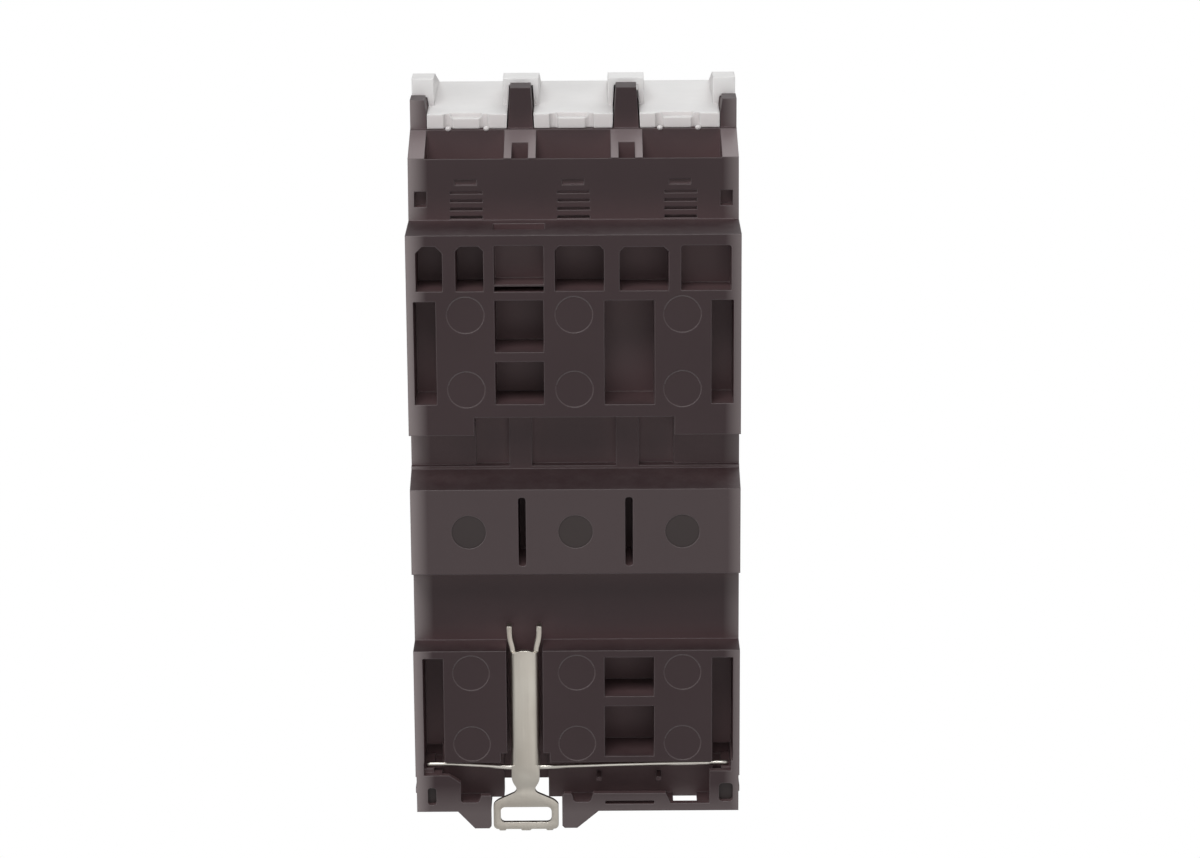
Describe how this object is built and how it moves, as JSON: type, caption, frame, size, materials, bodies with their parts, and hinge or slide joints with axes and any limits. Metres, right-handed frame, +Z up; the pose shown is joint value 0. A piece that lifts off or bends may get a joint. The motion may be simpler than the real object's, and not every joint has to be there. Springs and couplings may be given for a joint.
{
  "type": "din rail contactor",
  "caption": "Modular switching device for a top-hat rail, with a spring-held metal clip, barriers between its poles, pale terminal covers and a stepped front.",
  "frame": {"origin": "on the centre line of the mounting rail, in the plane where the rail's flanges seat, midway across the poles", "axes": "+X across the poles, +Y out from the rail to the operator, +Z up with the line terminals at the top"},
  "size_m": [0.054, 0.115, 0.1222],
  "materials": {
    "dark_housing": "dark brown-black moulded thermoplastic, matte",
    "pale_cover": "light grey moulded thermoplastic, matte",
    "white_cover": "off-white moulded thermoplastic, slightly see-through",
    "clip_steel": "bent sheet steel, satin",
    "spring_wire": "drawn spring wire",
    "laminated_iron": "stacked silicon steel sheets",
    "cushion_rubber": "soft black rubber",
    "ring_copper": "solid copper ring",
    "bobbin_plastic": "natural moulded thermoplastic",
    "winding_copper": "enamelled copper wire",
    "lead_brass": "brass strip",
    "clamp_steel": "zinc plated steel frame",
    "screw_steel": "zinc plated steel",
    "carrier_plastic": "black thermosetting plastic",
    "indicator_plastic": "light moulded plastic",
    "bar_copper": "tin flashed copper bar",
    "contact_silver": "silver alloy tips",
    "arc_steel": "plated sheet steel",
    "label_card": "blank white label",
    "clear_window": "clear moulded window"
  },
  "bodies": {
    "body": {"base_housing": "dark_housing", "contact_housing": "dark_housing", "front_cover": "pale_cover", "line_terminal_cover": "white_cover", "load_terminal_cover": "white_cover", "clip_spring": "spring_wire", "fixed_core": "laminated_iron", "core_cushions": "cushion_rubber", "shading_rings": "ring_copper", "coil_bobbin": "bobbin_plastic", "coil_winding": "winding_copper", "coil_lead_a1": "lead_brass", "coil_lead_a2": "lead_brass", "return_springs": "spring_wire", "fixed_contact_tips": "contact_silver", "arc_plates_line": "arc_steel", "arc_plates_load": "arc_steel", "housing_screws": "screw_steel", "label_plate": "label_card", "label_window": "clear_window", "line_contact_1": "bar_copper", "line_contact_2": "bar_copper", "line_contact_3": "bar_copper", "load_contact_1": "bar_copper", "load_contact_2": "bar_copper", "load_contact_3": "bar_copper"},
    "clip": {"rail_clip": "clip_steel"},
    "carrier": {"contact_carrier": "carrier_plastic", "indicator_pusher": "indicator_plastic", "armature": "laminated_iron", "armature_pin": "screw_steel", "contact_spring_1": "spring_wire", "contact_spring_2": "spring_wire", "contact_spring_3": "spring_wire"},
    "bridge_1": {"bridge_contact_1": "bar_copper", "bridge_tips_1": "contact_silver"},
    "bridge_2": {"bridge_contact_2": "bar_copper", "bridge_tips_2": "contact_silver"},
    "bridge_3": {"bridge_contact_3": "bar_copper", "bridge_tips_3": "contact_silver"},
    "line_1_screw": {"line_screw_1": "screw_steel"},
    "line_1_clamp": {"line_clamp_1": "clamp_steel"},
    "line_2_screw": {"line_screw_2": "screw_steel"},
    "line_2_clamp": {"line_clamp_2": "clamp_steel"},
    "line_3_screw": {"line_screw_3": "screw_steel"},
    "line_3_clamp": {"line_clamp_3": "clamp_steel"},
    "load_1_screw": {"load_screw_1": "screw_steel"},
    "load_1_clamp": {"load_clamp_1": "clamp_steel"},
    "load_2_screw": {"load_screw_2": "screw_steel"},
    "load_2_clamp": {"load_clamp_2": "clamp_steel"},
    "load_3_screw": {"load_screw_3": "screw_steel"},
    "load_3_clamp": {"load_clamp_3": "clamp_steel"},
    "coil_a1_screw": {"coil_screw_a1": "screw_steel"},
    "coil_a1_clamp": {"coil_clamp_a1": "clamp_steel"},
    "coil_a2_screw": {"coil_screw_a2": "screw_steel"},
    "coil_a2_clamp": {"coil_clamp_a2": "clamp_steel"}
  },
  "joints": [
    {"name": "rail_clip_slide", "type": "slide", "parent": "body", "child": "clip", "axis": [0, 0, 1], "range_m": [-0.0042, 0], "stiffness_N_per_m": 900, "springref_m": 0.006, "deforming": ["clip_spring"]},
    {"name": "carrier_slide", "type": "slide", "parent": "body", "child": "carrier", "axis": [0, 1, 0], "range_m": [-0.0059, 0], "stiffness_N_per_m": 900, "springref_m": 0.006, "deforming": ["return_springs"]},
    {"name": "bridge_1_slide", "type": "slide", "parent": "body", "child": "bridge_1", "axis": [0, 1, 0], "range_m": [-0.00385, 0], "deforming": ["contact_spring_1"]},
    {"name": "bridge_2_slide", "type": "slide", "parent": "body", "child": "bridge_2", "axis": [0, 1, 0], "range_m": [-0.00385, 0], "deforming": ["contact_spring_2"]},
    {"name": "bridge_3_slide", "type": "slide", "parent": "body", "child": "bridge_3", "axis": [0, 1, 0], "range_m": [-0.00385, 0], "deforming": ["contact_spring_3"]},
    {"name": "line_1_screw_turn", "type": "hinge", "parent": "body", "child": "line_1_screw", "pos_m": [-0.0175, 0.075, 0.051], "axis": [0, -1, 0], "range_deg": [0, 1442]},
    {"name": "line_1_clamp_slide", "type": "slide", "parent": "body", "child": "line_1_clamp", "axis": [0, 1, 0], "range_m": [0, 0.004]},
    {"name": "line_2_screw_turn", "type": "hinge", "parent": "body", "child": "line_2_screw", "pos_m": [0, 0.075, 0.051], "axis": [0, -1, 0], "range_deg": [0, 1442]},
    {"name": "line_2_clamp_slide", "type": "slide", "parent": "body", "child": "line_2_clamp", "axis": [0, 1, 0], "range_m": [0, 0.004]},
    {"name": "line_3_screw_turn", "type": "hinge", "parent": "body", "child": "line_3_screw", "pos_m": [0.0175, 0.075, 0.051], "axis": [0, -1, 0], "range_deg": [0, 1442]},
    {"name": "line_3_clamp_slide", "type": "slide", "parent": "body", "child": "line_3_clamp", "axis": [0, 1, 0], "range_m": [0, 0.004]},
    {"name": "load_1_screw_turn", "type": "hinge", "parent": "body", "child": "load_1_screw", "pos_m": [-0.0175, 0.075, -0.033], "axis": [0, -1, 0], "range_deg": [0, 1442]},
    {"name": "load_1_clamp_slide", "type": "slide", "parent": "body", "child": "load_1_clamp", "axis": [0, 1, 0], "range_m": [0, 0.004]},
    {"name": "load_2_screw_turn", "type": "hinge", "parent": "body", "child": "load_2_screw", "pos_m": [0, 0.075, -0.033], "axis": [0, -1, 0], "range_deg": [0, 1442]},
    {"name": "load_2_clamp_slide", "type": "slide", "parent": "body", "child": "load_2_clamp", "axis": [0, 1, 0], "range_m": [0, 0.004]},
    {"name": "load_3_screw_turn", "type": "hinge", "parent": "body", "child": "load_3_screw", "pos_m": [0.0175, 0.075, -0.033], "axis": [0, -1, 0], "range_deg": [0, 1442]},
    {"name": "load_3_clamp_slide", "type": "slide", "parent": "body", "child": "load_3_clamp", "axis": [0, 1, 0], "range_m": [0, 0.004]},
    {"name": "coil_a1_screw_turn", "type": "hinge", "parent": "body", "child": "coil_a1_screw", "pos_m": [-0.00875, 0.096, 0.0408], "axis": [0, -1, 0], "range_deg": [0, 1082]},
    {"name": "coil_a1_clamp_slide", "type": "slide", "parent": "body", "child": "coil_a1_clamp", "axis": [0, 1, 0], "range_m": [0, 0.0021]},
    {"name": "coil_a2_screw_turn", "type": "hinge", "parent": "body", "child": "coil_a2_screw", "pos_m": [0.00875, 0.096, 0.0408], "axis": [0, -1, 0], "range_deg": [0, 1082]},
    {"name": "coil_a2_clamp_slide", "type": "slide", "parent": "body", "child": "coil_a2_clamp", "axis": [0, 1, 0], "range_m": [0, 0.0021]}
  ],
  "couplings": [
    {"joint": "bridge_1_slide", "follows": "carrier_slide", "ratio": 0.65},
    {"joint": "bridge_2_slide", "follows": "carrier_slide", "ratio": 0.65},
    {"joint": "bridge_3_slide", "follows": "carrier_slide", "ratio": 0.65},
    {"joint": "line_1_screw_turn", "follows": "line_1_clamp_slide", "rad_per_m": 6283.2},
    {"joint": "line_2_screw_turn", "follows": "line_2_clamp_slide", "rad_per_m": 6283.2},
    {"joint": "line_3_screw_turn", "follows": "line_3_clamp_slide", "rad_per_m": 6283.2},
    {"joint": "load_1_screw_turn", "follows": "load_1_clamp_slide", "rad_per_m": 6283.2},
    {"joint": "load_2_screw_turn", "follows": "load_2_clamp_slide", "rad_per_m": 6283.2},
    {"joint": "load_3_screw_turn", "follows": "load_3_clamp_slide", "rad_per_m": 6283.2},
    {"joint": "coil_a1_screw_turn", "follows": "coil_a1_clamp_slide", "rad_per_m": 8976},
    {"joint": "coil_a2_screw_turn", "follows": "coil_a2_clamp_slide", "rad_per_m": 8976}
  ]
}
